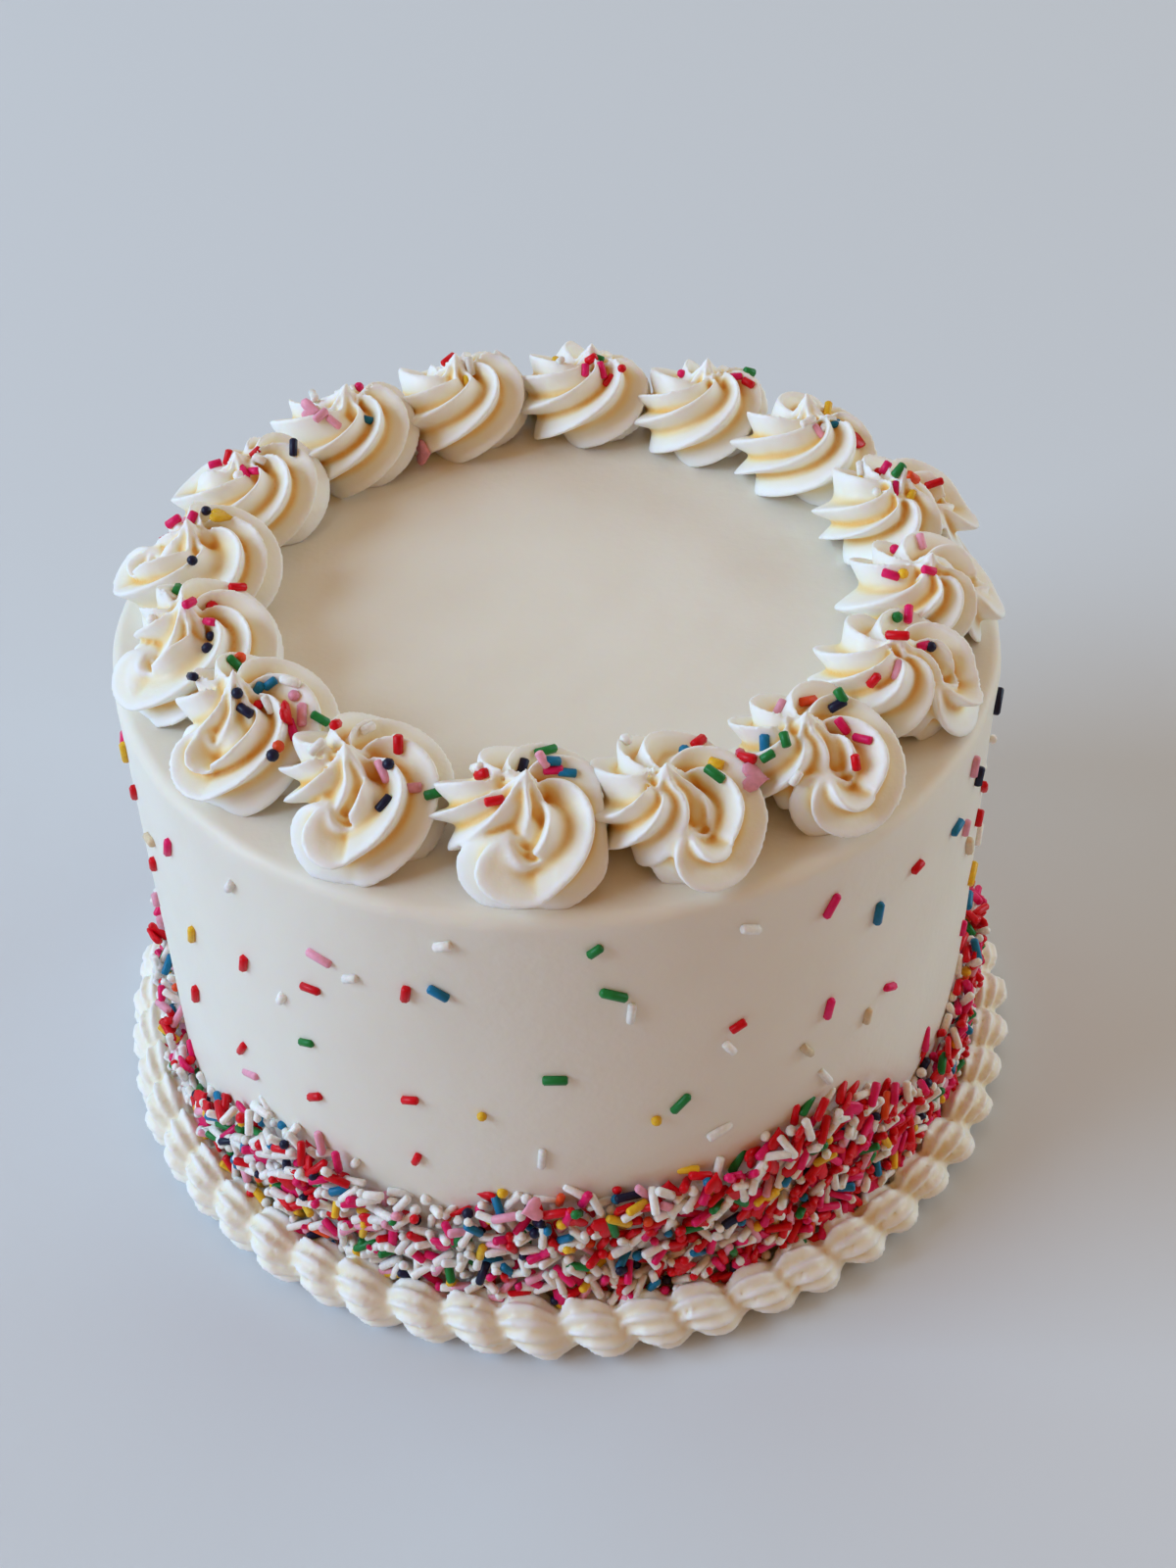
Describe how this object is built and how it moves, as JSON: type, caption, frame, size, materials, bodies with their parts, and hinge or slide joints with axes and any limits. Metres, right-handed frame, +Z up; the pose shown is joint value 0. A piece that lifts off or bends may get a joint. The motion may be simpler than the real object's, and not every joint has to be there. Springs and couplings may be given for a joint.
{
  "type": "buttercream cake",
  "caption": "Tall round cake with smooth cream icing, a ring of piped swirls on top, a piped shell border and a wavy band of coloured sugar sprinkles.",
  "frame": {"origin": "middle of the base, on the plane that the cake stands on", "axes": "+Z up, -Y towards the front"},
  "size_m": [0.236, 0.2367, 0.156],
  "materials": {
    "buttercream": "soft satin cream icing",
    "piped_buttercream": "soft satin cream icing, piped"
  },
  "bodies": {
    "root": {"cake": "buttercream", "rosette_01": "piped_buttercream", "rosette_02": "piped_buttercream", "rosette_03": "piped_buttercream", "rosette_04": "piped_buttercream", "rosette_05": "piped_buttercream", "rosette_06": "piped_buttercream", "rosette_07": "piped_buttercream", "rosette_08": "piped_buttercream", "rosette_09": "piped_buttercream", "rosette_10": "piped_buttercream", "rosette_11": "piped_buttercream", "rosette_12": "piped_buttercream", "rosette_13": "piped_buttercream", "rosette_14": "piped_buttercream", "rosette_15": "piped_buttercream", "rosette_16": "piped_buttercream", "shell_border": "piped_buttercream"}
  },
  "joints": []
}
